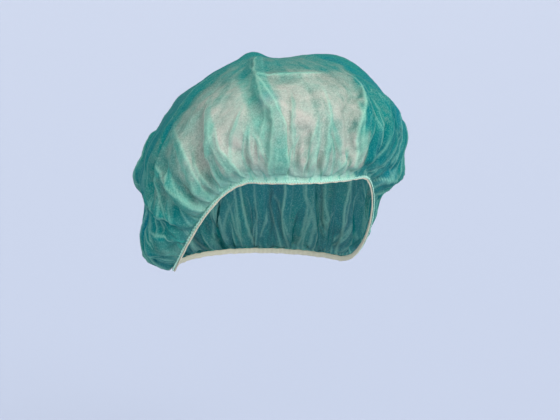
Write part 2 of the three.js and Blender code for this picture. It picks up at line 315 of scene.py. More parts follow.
# Smooth line through a fold's few path points, on the crown's plain surface
def foldLine(path, steps=36):
    points = np.array(path, float)
    t = np.linspace(0, len(points) - 1, steps)
    i = np.clip(np.floor(t).astype(int), 0, len(points) - 2)
    s = (t - i)[:, None]
    padded = np.vstack([2 * points[0] - points[1], points, 2 * points[-1] - points[-2]])
    a, b, c, d = (padded[i + k] for k in range(4))
    on = throughPoints(a, b, c, d, s)
    share = np.clip(on[:, 1], 0, 1)
    return readTable(plainTable, on[:, 0], share), readTable(plainNormals, on[:, 0], share)


# Smooth random heights from -1 to 1 on a plane, with patches of the given size in the plane's unit
def cloudHeights(x, y, size, seed, cells=96, shift=40):
    values = np.random.default_rng(seed).uniform(-1, 1, (cells + 1, cells + 1))
    u, v = x / size + shift, y / size + shift
    i, j = np.floor(u).astype(int), np.floor(v).astype(int)
    s, t = smooth(u - i), smooth(v - j)
    i, j = i % cells, j % cells
    return between(values[i, j], values[i + 1, j], values[i, j + 1], values[i + 1, j + 1], s, t)


# The same round the crown: patches counted round it and from rim to top, closed round the azimuth
def ringHeights(azimuth, share, around, up, seed):
    values = np.random.default_rng(seed).uniform(-1, 1, (around, up + 2))
    u, v = azimuth / 360 % 1 * around, share * up
    i, j = np.floor(u).astype(int) % around, np.floor(v).astype(int)
    s, t = smooth(u - np.floor(u)), smooth(v - j)
    after = (i + 1) % around
    return between(values[i, j], values[after, j], values[i, j + 1], values[after, j + 1], s, t)


# How the folds shape and mark the cloth. height: most along the fold's edge, falling steeply on one side
# and slowly on the other, fading out towards the fold's end. lip: 1 on the edge itself, where a highlight is
# painted. doubled: 1 where the cloth lies double.
def foldsOn(points, share, rows):
    height, lip, doubled = np.zeros((3, len(points)))
    x, y, z = points.T
    waverAt = cloudHeights(x + 0.6 * y, z - 0.6 * y, 11, 71)
    waverAt += 0.5 * cloudHeights(x - 0.5 * y, z + 0.5 * y, 4.5, 72)
    foot, (deep, place, wide) = foldForm["footReach"], foldForm["hollow"]
    for fold in rows:
        line, normals = foldLine(fold["path"])
        margin = 3.2 * fold["reach"] + 4
        inBox = np.all((points > line.min(0) - margin) & (points < line.max(0) + margin), axis=1)
        close = np.where(inBox)[0]
        here = points[close]
        near = ((here[:, None] - line[None]) ** 2).sum(2).argmin(1)
        tangent = unit(np.gradient(line, axis=0))[near]
        aside = np.cross(normals[near], tangent)
        offset = here - line[near]
        across = (offset * aside).sum(1) * fold["side"] + crown["waver"] * waverAt[close]
        beyond = np.abs((offset * tangent).sum(1)) * ((near == 0) | (near == len(line) - 1))
        along = near / (len(line) - 1)
        widening = foot + (1 - foot) * smooth(along * foldForm["widening"])
        reach = fold["reach"] * widening
        rounded = np.sqrt(across ** 2 + 1)
        drop = np.where(across > 0, rounded / reach, rounded / (foldForm["steepSide"] * reach + 1))
        profile = np.exp(-drop) - deep * bell((across + place * reach) / (wide * reach))
        atFoot = smooth(along / foldForm["fadeFoot"] + foldForm["footLeft"])
        fade = smooth((1 - along) / foldForm["fadeEnd"]) * atFoot
        height[close] += fold["lift"] * (fade * np.exp(-beyond / 5)) * profile
        mark = smooth((1 - along) / foldForm["markEnd"]) * np.exp(-beyond / 2)
        lip[close] = np.maximum(lip[close], mark * np.exp(-(across / 0.8) ** 2))
        taperFrom, taper = foldForm["bandTaper"]
        width = fold.get("band", foldForm["band"] * fold["reach"]) * widening
        width *= 1 - taper * smooth((along - taperFrom) / (1 - taperFrom))
        band = smooth(across / 0.5 + 0.5) * (1 - smooth((across - width) / (0.5 + 0.35 * width)))
        farEdge = foldForm["farLip"] * mark * np.exp(-((across - width - 0.4) / 0.6) ** 2)
        lip[close] = np.maximum(lip[close], farEdge)
        doubled[close] = np.maximum(doubled[close], mark * band)
    return height * smooth((share - 0.012) / 0.09), lip, doubled


# Many small folds in between, set at random but always the same
def smallFolds(count, seed, feet, runs):
    random = np.random.default_rng(seed)
    rows = []
    for number in range(count):
        azimuth = 360 / count * (number + random.uniform(-0.4, 0.4))
        run, lean = random.uniform(*runs), random.uniform(-9, 9)
        foot = random.choice(feet)
        middle = (azimuth + 0.3 * lean + random.uniform(-1, 1), foot + 0.4 * run)
        rows.append({
            "path": [(azimuth, foot), middle, (azimuth + lean, foot + run)],
            "lift": random.uniform(0.8, 2.4), "reach": random.uniform(4, 9), "side": random.choice([-1, 1]),
        })
    return rows


# Edges of uneven steps that fill the round: running sums of random widths, brought to 360 degrees
def unevenEdges(random, count, least, most):
    steps = random.uniform(least, most, count)
    return np.concatenate([[0], np.cumsum(steps)]) * 360 / steps.sum()


# Sum of round waves of unequal width, each set with its own drift as it climbs, fading away from the rim
def gathersOut(azimuth, share, rows, seed=3):
    random = np.random.default_rng(seed)
    total = np.zeros(azimuth.shape)
    for row in rows:
        edges = unevenEdges(random, row["count"], 0.55, 1.45)
        lean = 14 * share * np.sin(np.radians(azimuth * 2 + 40)) + 9 * share * np.sin(np.radians(azimuth * 5))
        phase = np.interp((azimuth + lean) % 360, edges, np.arange(row["count"] + 1))
        which = np.floor(phase).astype(int) % row["count"]
        strength = random.uniform(0.45, 1.25, row["count"])[which]
        run = row["run"] * random.uniform(0.6, 1.4, row["count"])[which]
        wave = np.sin((phase % 1) * math.pi) ** 1.5
        total += row["out"] * strength * (wave - 0.4) * bell(share / run)
    return total


# Round patch about a point of the plain crown, as high as much: a bell curve on the level times one in height
def patchAt(points, azimuth, share, level, tall, much):
    middle = readTable(plainTable, np.array([float(azimuth)]), np.array([share]))[0]
    aside = np.hypot(points[..., 0] - middle[0], points[..., 1] - middle[1])
    return much * bell(aside / level) * bell((points[..., 2] - middle[2]) / tall)


# Swellings and dents of the worn shape: the sum of a patch for each row
def dentsOut(points):
    total = np.zeros(len(points))
    for row in dents:
        total += patchAt(points, *row)
    return total


# Index of the grid's square faces, wound so that they face out
def gridFaces(side):
    index = np.arange(side * side).reshape(side, side)
    return np.stack([index[:-1, :-1], index[1:, :-1], index[1:, 1:], index[:-1, 1:]], -1).reshape(-1, 4)


# A smooth-shaded mesh object from whole arrays of points, in metres, and faces
def meshFrom(name, points, faces):
    mesh = bpy.data.meshes.new(name)
    mesh.from_pydata(points.tolist(), [], faces.tolist())
    mesh.polygons.foreach_set("use_smooth", np.ones(len(mesh.polygons), bool))
    mesh.update()
    piece = bpy.data.objects.new(name, mesh)
    bpy.context.scene.collection.objects.link(piece)
    return piece


# Points of a piece as the modifiers leave them
def readPoints(piece):
    evaluated = piece.evaluated_get(bpy.context.evaluated_depsgraph_get())
    flat = np.empty(len(evaluated.data.vertices) * 3)
    evaluated.data.vertices.foreach_get("co", flat)
    return flat.reshape(-1, 3)


# Cloth simulation from the folded shape. The cloth is a little longer than that shape, most of all near the
# rim, so it buckles into creases between the folds. The rim is held fast and the rest is held softly.
def simulateCloth(start, share, faces):
    piece = meshFrom("clothAtWork", start * mm, faces)
    atRim = share < simulation["heldBelow"]
    held = piece.vertex_groups.new(name="held")
    held.add(np.where(atRim)[0].tolist(), 1.0, "REPLACE")
    held.add(np.where(~atRim)[0].tolist(), simulation["hold"], "REPLACE")
    tight = piece.vertex_groups.new(name="tight")
    count = simulation["spareSteps"]
    steps = np.round(smooth((share - 0.08) / 0.5) * count)
    for step in range(count + 1):
        tight.add(np.where(steps == step)[0].tolist(), step / count, "REPLACE")
    cloth = piece.modifiers.new("cloth", "CLOTH")
    s = cloth.settings
    s.quality = 6
    s.mass = 0.05
    s.air_damping = 1
    s.tension_stiffness = s.compression_stiffness = 40
    s.shear_stiffness = 10
    s.bending_stiffness = 5
    s.tension_damping = s.compression_damping = s.shear_damping = 0.5
    s.bending_damping = 0.1
    s.vertex_group_mass = "held"
    s.pin_stiffness = simulation["holdStiffness"]
    s.shrink_max = -simulation["spareAtTop"]
    s.shrink_min = -simulation["spareAtRim"]
    s.vertex_group_shrink = "tight"
    s.use_pressure = True
    s.uniform_pressure_force = simulation["pressure"]
    s.effector_weights.gravity = 0
    cloth.collision_settings.use_collision = False
    cloth.collision_settings.use_self_collision = False
    cloth.point_cache.frame_start, cloth.point_cache.frame_end = 1, simulation["frames"]
    for number in range(1, simulation["frames"] + 1):
        bpy.context.scene.frame_set(number)
    points = readPoints(piece) / mm
    bpy.context.scene.frame_set(1)
    bpy.data.objects.remove(piece)
    moved = np.linalg.norm(points - start, axis=1)
    mean, most = (round(float(v), 2) for v in (moved.mean(), moved.max()))
    print("cloth moved by", mean, "mm on average,", most, "at most")
    return points


# A grid read at points between its own, on cubic curves through them, first one way and then the other
def refineGrid(grid, times):
    for axis in (0, 1):
        g = np.moveaxis(grid, axis, 0)
        padded = np.concatenate([2 * g[:1] - g[1:2], g, 2 * g[-1:] - g[-2:-1]])
        t = np.arange(times * (len(g) - 1) + 1) / times
        i = np.minimum(t.astype(int), len(g) - 2)
        s = (t - i).reshape(-1, *[1] * (g.ndim - 1))
        a, b, c, d = (padded[i + k] for k in range(4))
        fine = throughPoints(a, b, c, d, s)
        grid = np.moveaxis(fine, 0, axis)
    return grid


# Mean over a square window of grid points, taken three times over so that the window has no corners
def blurGrid(grid, reach):
    for axis in (0, 1) * 3:
        g = np.moveaxis(grid, axis, 0)
        padded = np.concatenate([np.repeat(g[:1], reach + 1, 0), g, np.repeat(g[-1:], reach, 0)])
        total = np.cumsum(padded, 0)
        grid = np.moveaxis((total[2 * reach + 1:] - total[:-2 * reach - 1]) / (2 * reach + 1), 0, axis)
    return grid


# Normals of a grid of points: the cross product of its two directions, facing out or in as the grid runs
def gridNormals(grid):
    return unit(np.cross(np.gradient(grid, axis=0), np.gradient(grid, axis=1)))


# The start shape: plain crown, long folds, coarse gathers and dents, then the simulation's fine movement
side = crown["gridSide"]
azimuth, share = (v.ravel() for v in discGrid(side))
plain = readTable(plainTable, azimuth, share)
normal = readTable(plainNormals, azimuth, share)
height = crown["foldsFirst"] * foldsOn(plain, share, folds)[0]
height += gathersOut(azimuth, share, gathers[:2]) * smooth(share / 0.02)
height = height.reshape(side, side)
height = (height - crown["evened"] * blurGrid(height, crown["evenedOver"])).ravel() * smooth(share / 0.03)
height += dentsOut(plain)
start = plain + normal * height[:, None]
faces = gridFaces(side)
print("start shape worked out")
points = simulateCloth(start, share, faces)
moved = (points - start).reshape(side, side, 3)
moved -= simulation["takenBack"] * blurGrid(moved, simulation["broad"])  # so the outline stays as worn
moved *= smooth(share / 0.035).reshape(side, side, 1)
calm = bell(turned(azimuth - simulation["calmAzimuth"]) / simulation["calmSpread"])
calm *= smooth(share / 0.1) * (1 - smooth((share - 0.5) / 0.2))
points = start + moved.reshape(-1, 3) * (1 - simulation["frontCalm"] * calm)[:, None]
print("cloth done")

# The finished cloth: the start shape and its fine movement on a finer grid, with the folds' sharp edges,
# the finest gathers and creases. large and small: patch size and height in mm.
creases = {"foldEdge": 0.4, "large": (14, 0.45), "small": (5, 0.2)}
# thin creases where smooth random heights pass through 0, with a painted highlight along them and painted
# light and shade stepping between their two sides. meshes: patches round and up, seed. tall: mm.
lineWeb = {"meshes": [(96, 4, 31), (60, 6, 37)], "width": 0.05, "tall": 0.3}
# by the rim the cloth stays outside the elastic: at least this far out, in mm, and freer above it
rimSeat = {"least": 0.1, "slack": 12, "from": 0.022, "over": 0.06}
fineSide = crown["finer"] * (side - 1) + 1
azimuth, share = discGrid(fineSide)
flatX = crown["flatRadius"] * (1 - share) * np.sin(np.radians(azimuth))
flatY = -crown["flatRadius"] * (1 - share) * np.cos(np.radians(azimuth))
grid = refineGrid(points.reshape(side, side, 3), crown["finer"])
plainFine = readTable(plainTable, azimuth, share)
outward = readTable(plainNormals, azimuth, share)
sign = np.sign((gridNormals(plainFine) * outward).sum(2).mean())
flatPoints = plainFine.reshape(-1, 3)
high, lip, doubled = (v.reshape(share.shape) for v in foldsOn(flatPoints, share.ravel(), folds))
fromRim, overBack = (smallFolds(**smallRows[name]) for name in ("fromRim", "overBack"))
fromFront = [abs(turned(row["path"][0][0] - smoothFront["azimuth"])) for row in overBack]
overBack = [row for row, away in zip(overBack, fromFront) if away > smoothFront["half"]]
small = foldsOn(flatPoints, share.ravel(), fromRim + overBack)
highSmall, lipSmall, doubledSmall = (v.reshape(share.shape) for v in small)
height = creases["foldEdge"] * high + highSmall
height += gathersOut(azimuth, share, gathers[2:]) * smooth((share + 0.004) / 0.02)
for number, name in enumerate(("large", "small")):
    size, tall = creases[name]
    height += tall * cloudHeights(flatX, flatY, size, 11 + number) * smooth(share / 0.03)
web, facetLightAndShade = np.zeros((2, *share.shape))
for around, up, seed in lineWeb["meshes"]:
    level = ringHeights(azimuth, share, around, up, seed)
    web = np.maximum(web, np.exp(-(level / lineWeb["width"]) ** 2))
    # one side of each crease line a step lighter, the other a step darker: painted light and shade of facets
    facetLightAndShade += 0.5 * np.tanh(level / 0.2)
facetLightAndShade *= smooth(share / 0.05) * smooth((0.93 - share) / 0.3)
clouds = cloudHeights(flatX, flatY, 24, 41)
web *= smooth(share / 0.05) * smooth((0.75 - share) / 0.35) * smooth(0.3 + 0.9 * clouds)
height += lineWeb["tall"] * web
height -= crown["evened"] * blurGrid(height, crown["evenedOver"] * crown["finer"])
height *= smooth((share + 0.001) / 0.014)
grid = grid + gridNormals(blurGrid(grid, 2)) * sign * height[..., None]
inward = ((grid - plainFine) * outward).sum(2)
lowest = rimSeat["least"] - rimSeat["slack"] * smooth((share - rimSeat["from"]) / rimSeat["over"])
grid = grid + outward * np.maximum(lowest - inward, 0)[..., None]
if sign < 0:
    grid, azimuth, share, flatX, flatY = (v[::-1] for v in (grid, azimuth, share, flatX, flatY))
    lip, lipSmall, doubled, doubledSmall = (v[::-1] for v in (lip, lipSmall, doubled, doubledSmall))
    web, facetLightAndShade = web[::-1], facetLightAndShade[::-1]

# Where several layers lie on each other and the teal turns bluer, in rows like those of the dents
bluer = [
    # azimuth, share, level, tall, how much
    (62, 0.44, 22, 17, 1.0),
    (-112, 0.22, 22, 13, 0.9),
    (58, 0.10, 12, 6, 0.4),
    (-22, 0.37, 7, 5, 0.8),
    (150, 0.3, 30, 24, 0.45),
    (215, 0.45, 34, 22, 0.4),
]
# the smooth front: where its sides lie in degrees, how they shift on the way up and how soft they are
frontSides = {
    "right": 82, "rightShift": 14, "rightSoft": 44,
    "left": 33, "leftShift": -40, "leftShiftHigh": 105, "highFrom": 0.25, "leftSoft": 9,
}
# What the cloth's colour follows. ridge: how far a point stands out of its surroundings, which paints a
# highlight on ridges and shade in hollows. tilt: how steeply it lies against them. pale: where the cloth is
# drawn smooth over the front, one layer thick; it also carries painted shade over the top and painted light
# and shade on the creases' facets.
normals = gridNormals(grid)
near, broad = blurGrid(grid, 2), blurGrid(grid, 5)
ridge = np.clip(((grid - near) * normals).sum(2) / 0.5, -1, 1)
tilt = np.clip(1 - (normals * gridNormals(broad)).sum(2), 0, 1)
turnedAzimuth = turned(azimuth) + 3.5 * cloudHeights(flatX, flatY, 22, 51)
turnedAzimuth += 2 * cloudHeights(flatX, flatY, 7, 52)
rightSide = turnedAzimuth + frontSides["right"] + frontSides["rightShift"] * smooth(share / 0.3)
leftSide = frontSides["left"] + frontSides["leftShift"] * share
leftSide += frontSides["leftShiftHigh"] * np.maximum(share - frontSides["highFrom"], 0)
leftSide -= turnedAzimuth
front = smooth(rightSide / frontSides["rightSoft"]) * smooth(leftSide / frontSides["leftSoft"])
# The top band is darker and greyer, and the tone falls from a quarter of the way up: painted shade where the
# frontal light grazes the top.
uneven = share + 0.012 * cloudHeights(flatX, flatY, 16, 53)
paintedTopShade = smooth((uneven - 0.515 - 0.0015 * np.maximum(-30 - turnedAzimuth, 0)) / 0.08)
pale = 0.1 + 0.82 * front * (1 - paintedTopShade) * (0.92 + 0.08 * smooth(share / 0.08))
pale += 0.42 * paintedTopShade * (0.25 + 0.75 * front)
pale *= 1 - 0.28 * smooth((share - 0.28) / 0.24)
# the clouds are the web's own uneven tone; the step across each crease line is painted light and shade
pale += (0.2 - 0.1 * front) * cloudHeights(flatX, flatY, 38, 54) + 0.12 * facetLightAndShade
pale = np.clip(pale, 0, 1)
blue = np.zeros(share.shape)
for row in bluer:
    blue = np.maximum(blue, patchAt(grid, *row))


# Tucks where the elastic bunches the cloth: triangles standing on the rim, uneven in width and height
def tuckMarks(azimuth, share, count=64, seed=61):
    random = np.random.default_rng(seed)
    edges = unevenEdges(random, count, 0.4, 1.6)
    phase = np.interp(azimuth % 360, edges, np.arange(count + 1))
    which = np.floor(phase).astype(int) % count
    run = random.uniform(0.015, 0.075, count)[which]
    half = random.uniform(0.2, 0.6, count)[which]
    lean = random.uniform(-0.3, 0.3, count)[which]
    across = np.abs((phase % 1 - 0.5) * 2 - lean * share / run) / half
    return smooth((1 - share / run - across) / 0.18 + 0.2) * random.uniform(0.3, 1.0, count)[which]


# Gives a piece's mesh one number per point under each name, for its material to read
def paintPiece(piece, **values):
    for name, value in values.items():
        layer = piece.data.attributes.new(name, "FLOAT", "POINT")
        layer.data.foreach_set("value", value.ravel().astype(np.float32))


# UV map of a piece from two numbers for each point, in metres
def layUv(piece, u, v):
    layer = piece.data.uv_layers.new(name="flat")
    loops = np.empty(len(piece.data.loops), np.int32)
    piece.data.loops.foreach_get("vertex_index", loops)
    layer.data.foreach_set("uv", np.stack([u.ravel()[loops], v.ravel()[loops]], -1).ravel())


crownCloth = meshFrom("crown_cloth", grid.reshape(-1, 3) * mm, gridFaces(fineSide))
# the thin mint line along fold edges and crease lines is a painted highlight
edge = np.maximum(np.maximum(lip, 0.7 * lipSmall), 0.4 * web)
layers = np.maximum(0.85 * doubled, 0.6 * doubledSmall)
tucks = tuckMarks(azimuth, share)
paintPiece(crownCloth, ridge=ridge, tilt=tilt, pale=pale, share=share)
paintPiece(crownCloth, edge=edge, layers=layers, tucks=tucks, blue=blue)
layUv(crownCloth, flatX * mm, flatY * mm)
print("crown cloth:", len(crownCloth.data.polygons), "faces")

# The elastic: a flat strip carried round the rim, uneven because the cloth pulls on it. Millimetres;
# mapRound and mapAcross are the metres that its UV map runs round the rim and across the strip.
elastic = {
    "width": 4.2, "thick": 0.95, "steps": 720, "unevenOut": 0.18, "unevenUp": 0.35,
    "mapRound": 0.523, "mapAcross": 0.014,
}


# A rectangle with round ends, as (out, up) pairs: half a circle at the foot, then half a circle at the top
def roundedStrip(width, thick, corner=4):
    half = thick / 2
    turn = np.linspace(0, math.pi, corner + 1)
    low = np.stack([half - half * np.cos(turn), half - half * np.sin(turn)], -1)
    high = np.stack([half + half * np.cos(turn), width - half + half * np.sin(turn)], -1)
    return np.concatenate([low, high])


# Points of a profile carried round the rim, and the faces between them
def carryRound(profile, steps, outOf, upOf):
    turn = np.arange(steps) * 360 / steps
    rings = [rimPoint(turn, out + outOf(turn), up + upOf(turn)) for out, up in profile]
    points = np.stack(rings, 1)
    count = len(profile)
    index = np.arange(steps * count).reshape(steps, count)
    after, above = np.roll(index, -1, 0), np.roll(index, -1, 1)
    faces = np.stack([index, after, np.roll(after, -1, 1), above], -1).reshape(-1, 4)
    return points, faces


# Sum of a few sine waves round the rim, each started at random
def wander(turn, counts, seed):
    random = np.random.default_rng(seed)
    return sum(np.sin(np.radians(turn * n + random.uniform(0, 360))) for n in counts) / len(counts)


strip = roundedStrip(elastic["width"], elastic["thick"])
ribbon, faces = carryRound(
    strip, elastic["steps"],
    lambda turn: elastic["unevenOut"] * (1 + wander(turn, (31, 47, 83), 5)) / 2,
    lambda turn: elastic["unevenUp"] * wander(turn, (23, 41, 67), 6),
)
elasticStrip = meshFrom("elastic_strip", ribbon.reshape(-1, 3) * mm, faces)
around = np.repeat(np.arange(elastic["steps"]) / elastic["steps"] * elastic["mapRound"], len(strip))
layUv(elasticStrip, around, np.tile(np.linspace(0, elastic["mapAcross"], len(strip)), elastic["steps"]))


# Points of the finished cloth at any azimuth and share near the rim, read along the grid's square rings
def onCloth(azimuthWanted, shareWanted):
    step = 2 / (fineSide - 1)
    lines = []
    for ring in range(int(shareWanted.max() / step) + 2):
        inside = slice(ring, fineSide - ring)
        border = np.ones((fineSide - 2 * ring,) * 2, bool)
        border[1:-1, 1:-1] = False
        around, places = azimuth[inside, inside][border], grid[inside, inside][border]
        order = np.argsort(around)
        line = [np.interp(azimuthWanted, around[order], places[order, k], period=360) for k in range(3)]
        lines.append(np.stack(line, -1))
    lines = np.array(lines)
    low = (np.maximum(shareWanted, 0) / step).astype(int)
    part = (shareWanted / step - low)[:, None]
    pick = np.arange(len(azimuthWanted))
    return lines[low, pick] * (1 - part) + lines[low + 1, pick] * part


# The overlock stitching: one thread laid in zigzag loops over the cloth's edge, from the elastic to just
# above it. thread: thickness in mm. below, above: shares of the way up, under 0 past the edge. mapStitch,
# mapAround: metres of its UV map for each stitch and round the thread.
stitching = {
    "count": 250, "thread": 0.45, "below": -0.0025, "above": 0.0065, "perStitch": 8, "sides": 6,
    "seat": 0.45,  # how far the thread's middle lies outside the cloth, as a share of its thickness
    "mapStitch": 0.006, "mapAround": 0.0013,
}


# Tube round a closed line: circles across the line, turned by the outward direction
def tubeRound(line, outward, radius, sides):
    along = unit(np.roll(line, -1, 0) - np.roll(line, 1, 0))
    across = unit(np.cross(along, outward))
    out = np.cross(across, along)
    turn = np.arange(sides) * 2 * math.pi / sides
    circle = out[:, None] * np.cos(turn)[:, None] + across[:, None] * np.sin(turn)[:, None]
    ring = line[:, None] + radius * circle
    index = np.arange(len(line) * sides).reshape(-1, sides)
    after = np.roll(index, -1, 0)
    return ring, np.stack([index, np.roll(index, -1, 1), np.roll(after, -1, 1), after], -1).reshape(-1, 4)


steps = stitching["count"] * stitching["perStitch"]
phase = np.arange(steps) / stitching["perStitch"]
sway = (0.5 - 0.5 * np.cos(2 * math.pi * phase)) ** 0.8
jitter = np.random.default_rng(8).uniform(-0.5, 0.5, (2, stitching["count"]))
which = np.floor(phase).astype(int)
turn = np.arange(steps) * 360 / steps + 0.3 * jitter[0][which] * sway
climb = stitching["above"] - stitching["below"]
height = stitching["below"] + climb * sway * (1 + 0.3 * jitter[1][which])
outwardHere = unit(rimPoint(turn, 1, 0) - rimPoint(turn, 0, 0))
line = onCloth(turn, height) + outwardHere * stitching["thread"] * stitching["seat"]
tube, faces = tubeRound(line, outwardHere, stitching["thread"] / 2, stitching["sides"])
overlock = meshFrom("overlock_stitching", tube.reshape(-1, 3) * mm, faces)
aroundThread = np.tile(np.linspace(0, stitching["mapAround"], stitching["sides"]), steps)
layUv(overlock, np.repeat(phase * stitching["mapStitch"], stitching["sides"]), aroundThread)
print("elastic and stitching made")


# An sRGB hex colour as linear red, green, blue and 1, by the sRGB standard's curve
def linear(hexColour):
    parts = [int(hexColour[i:i + 2], 16) / 255 for i in (1, 3, 5)]
    return [p / 12.92 if p <= 0.04045 else ((p + 0.055) / 1.055) ** 2.4 for p in parts] + [1.0]


# Adds a node with its settings, links and ramp stops. An input is named or numbered: a socket, or a node's
# first output in use, is linked to it, a hex colour becomes linear, and anything else is its value.
def addNode(tree, kind, inputs=None, stops=None, **settings):
    node = tree.nodes.new(kind)
    for name, value in settings.items():
        setattr(node, name, value)
    for key, value in (inputs or {}).items():
        if isinstance(value, bpy.types.Node):
            value = next(out for out in value.outputs if out.enabled)
        if isinstance(value, bpy.types.NodeSocket):
            tree.links.new(value, node.inputs[key])
        else:
            node.inputs[key].default_value = linear(value) if isinstance(value, str) else value
    for number, (place, colour) in enumerate(stops or []):
        elements = node.color_ramp.elements
        element = elements[number] if number < len(elements) else elements.new(place)
        element.position, element.color = place, linear(colour)
    return node


# An empty node material
def newMaterial(name):
    material = bpy.data.materials.new(name)
    material.use_nodes = True
    material.node_tree.nodes.clear()
    return material, material.node_tree


# Spunbond polypropylene, 18 g per square metre: a web of fine fibres welded in small points, so it is cloudy,
# dull and half see-through. One layer takes on the grey of what lies behind it; where the cloth lies double
# it is a full teal; a folded edge is drawn as a thin line of mint, a painted highlight. Painted highlights
# and shade also follow the ridges, the creases' facets and the top, and a lighter band by the rim is painted
# light.
spunbond = {
    # one layer and two, from dark to light behind them
    "single": [(0.0, "#00797a"), (0.2, "#0a7f78"), (0.46, "#66897f"), (0.74, "#99a498"), (1.0, "#c0bcb1")],
    "double": [(0.0, "#006d76"), (0.35, "#0b8680"), (0.7, "#509d8f"), (1.0, "#7dae9e")],
    # tones laid over them, and how much of each. hem: a lighter band by the rim, painted light; crease: a
    # painted highlight along fold edges
    "blue": ("#07829a", 0.6), "hem": ("#aee0cf", 1.0), "tuck": ("#35a898", 0.75),
    "speck": ("#8fcfbb", 0.2), "creaseHighlightTone": ("#a9dfc6", 0.5),
    "cloud": (0.020, 3, 0.5), "clump": (0.006, 3, 0.6),  # noises: patch size in metres, detail, roughness
    "fibre": (0.0011, 2, 0.75),  # fibres drawn five times their real width
    "grainTones": [(0.34, "#a2a2a2"), (0.66, "#d2d2d2")], "grain": 0.42,
    "roughness": 0.8, "specular": 0.06, "sheen": 0.02,
    "relief": 0.00018,  # metres
    "glow": 0.38,  # share of the light that comes through
    "see": 0.03,  # share of the web that is open
}


def spunbondMaterial():
    material, tree = newMaterial("spunbond_polypropylene")
    place = addNode(tree, "ShaderNodeTexCoord").outputs["Object"]
    noise = {}
    for name in ("cloud", "clump", "fibre"):
        size, detail, roughness = spunbond[name]
        settings = {"Vector": place, "Scale": 1 / size, "Detail": detail, "Roughness": roughness}
        noise[name] = addNode(tree, "ShaderNodeTexNoise", settings).outputs["Fac"]
    painted = {name: addNode(tree, "ShaderNodeAttribute", attribute_name=name).outputs["Fac"]
               for name in ("ridge", "tilt", "pale", "share", "edge", "layers", "tucks", "blue")}
    times, timesKept = {"operation": "MULTIPLY_ADD"}, {"operation": "MULTIPLY_ADD", "use_clamp": True}
    # how light it is behind the cloth: the painted tone, a little painted highlight on the ridges and painted
    # shade in the hollows, the web's clumps and fibres
    behind = addNode(tree, "ShaderNodeMath", {0: painted["ridge"], 1: 0.06, 2: painted["pale"]}, **times)
    behind = addNode(tree, "ShaderNodeMath", {0: noise["clump"], 1: 0.4, 2: behind}, **times)
    behind = addNode(tree, "ShaderNodeMath", {0: noise["fibre"], 1: 0.4, 2: behind}, **times)
    behind = addNode(tree, "ShaderNodeMath", {0: behind, 1: -0.4}, operation="ADD", use_clamp=True)
    # how far the cloth counts as double: folds, steep places and clouds of thicker web
    double = addNode(tree, "ShaderNodeMath", {0: painted["layers"], 1: 0.65, 2: -0.68}, **times)
    double = addNode(tree, "ShaderNodeMath", {0: painted["tilt"], 1: 0.5, 2: double}, **times)
    double = addNode(tree, "ShaderNodeMath", {0: noise["cloud"], 1: 1.8, 2: double}, **timesKept)
    # a lighter mint band by the rim, as strong as the pale tone behind it: painted light lifting the shade
    # where the cloth turns under at the rim
    hem = addNode(tree, "ShaderNodeMath", {0: painted["share"], 1: -10.0, 2: 1.0}, **timesKept)
    rimLightStrength = addNode(tree, "ShaderNodeMath", {0: painted["pale"], 1: 0.75, 2: 0.1}, **times)
    hem = addNode(tree, "ShaderNodeMath", {0: hem, 1: rimLightStrength}, operation="MULTIPLY")
    specks = addNode(tree, "ShaderNodeMath", {0: noise["fibre"], 1: 5.0, 2: -2.6}, **timesKept)
    colour = addNode(tree, "ShaderNodeValToRGB", {0: behind}, spunbond["single"])
    fullTeal = addNode(tree, "ShaderNodeValToRGB", {0: behind}, spunbond["double"])
    colour = addNode(tree, "ShaderNodeMix", {0: double, 6: colour, 7: fullTeal}, data_type="RGBA")
    over = {"blue": painted["blue"], "hem": hem, "tuck": painted["tucks"]}
    over |= {"speck": specks, "creaseHighlightTone": painted["edge"]}
    for name, where in over.items():
        tone, much = spunbond[name]
        share = addNode(tree, "ShaderNodeMath", {0: where, 1: much}, operation="MULTIPLY")
        colour = addNode(tree, "ShaderNodeMix", {0: share, 6: colour, 7: tone}, data_type="RGBA")
    grain = addNode(tree, "ShaderNodeValToRGB", {0: noise["fibre"]}, spunbond["grainTones"])
    overlay = {"data_type": "RGBA", "blend_type": "OVERLAY"}
    colour = addNode(tree, "ShaderNodeMix", {0: spunbond["grain"], 6: colour, 7: grain}, **overlay)
    relief = addNode(tree, "ShaderNodeMath", {0: noise["fibre"], 1: 0.83, 2: noise["clump"]}, **times)
    bump = {"Height": relief, "Distance": spunbond["relief"], "Strength": 0.6}
    bump = addNode(tree, "ShaderNodeBump", bump)
    surface = addNode(tree, "ShaderNodeBsdfPrincipled", {
        "Base Color": colour, "Roughness": spunbond["roughness"], "Normal": bump,
        "Specular IOR Level": spunbond["specular"], "Sheen Weight": spunbond["sheen"], "Sheen Roughness": 0.5,
    })
    glow = addNode(tree, "ShaderNodeBsdfTranslucent", {"Color": colour, "Normal": bump})
    web = addNode(tree, "ShaderNodeMixShader", {0: spunbond["glow"], 1: surface, 2: glow})
    gaps = addNode(tree, "ShaderNodeBsdfTransparent", {"Color": "#ffffff"})
    openHere = {0: noise["fibre"], 1: 0.1, 2: spunbond["see"] - 0.05}
    openHere = addNode(tree, "ShaderNodeMath", openHere, **timesKept)
    cloth = addNode(tree, "ShaderNodeMixShader", {0: openHere, 1: web, 2: gaps})
    addNode(tree, "ShaderNodeOutputMaterial", {"Surface": cloth})
    return material


# Braided elastic, cream polyester over rubber: ribs across the strip, dull. ribs and dust: pattern scales
# on the UV map's metres.
braid = {
    "ribs": 265.0, "ribTones": [(0.0, "#bdb69c"), (0.6, "#d9d2b8"), (1.0, "#e8e2cc")], "ribHeight": 0.0003,
    "dust": 1400.0, "dustTones": [(0.3, "#a8a493"), (0.7, "#ffffff")], "dustShare": 0.25,
    "roughness": 0.8, "specular": 0.3,
}


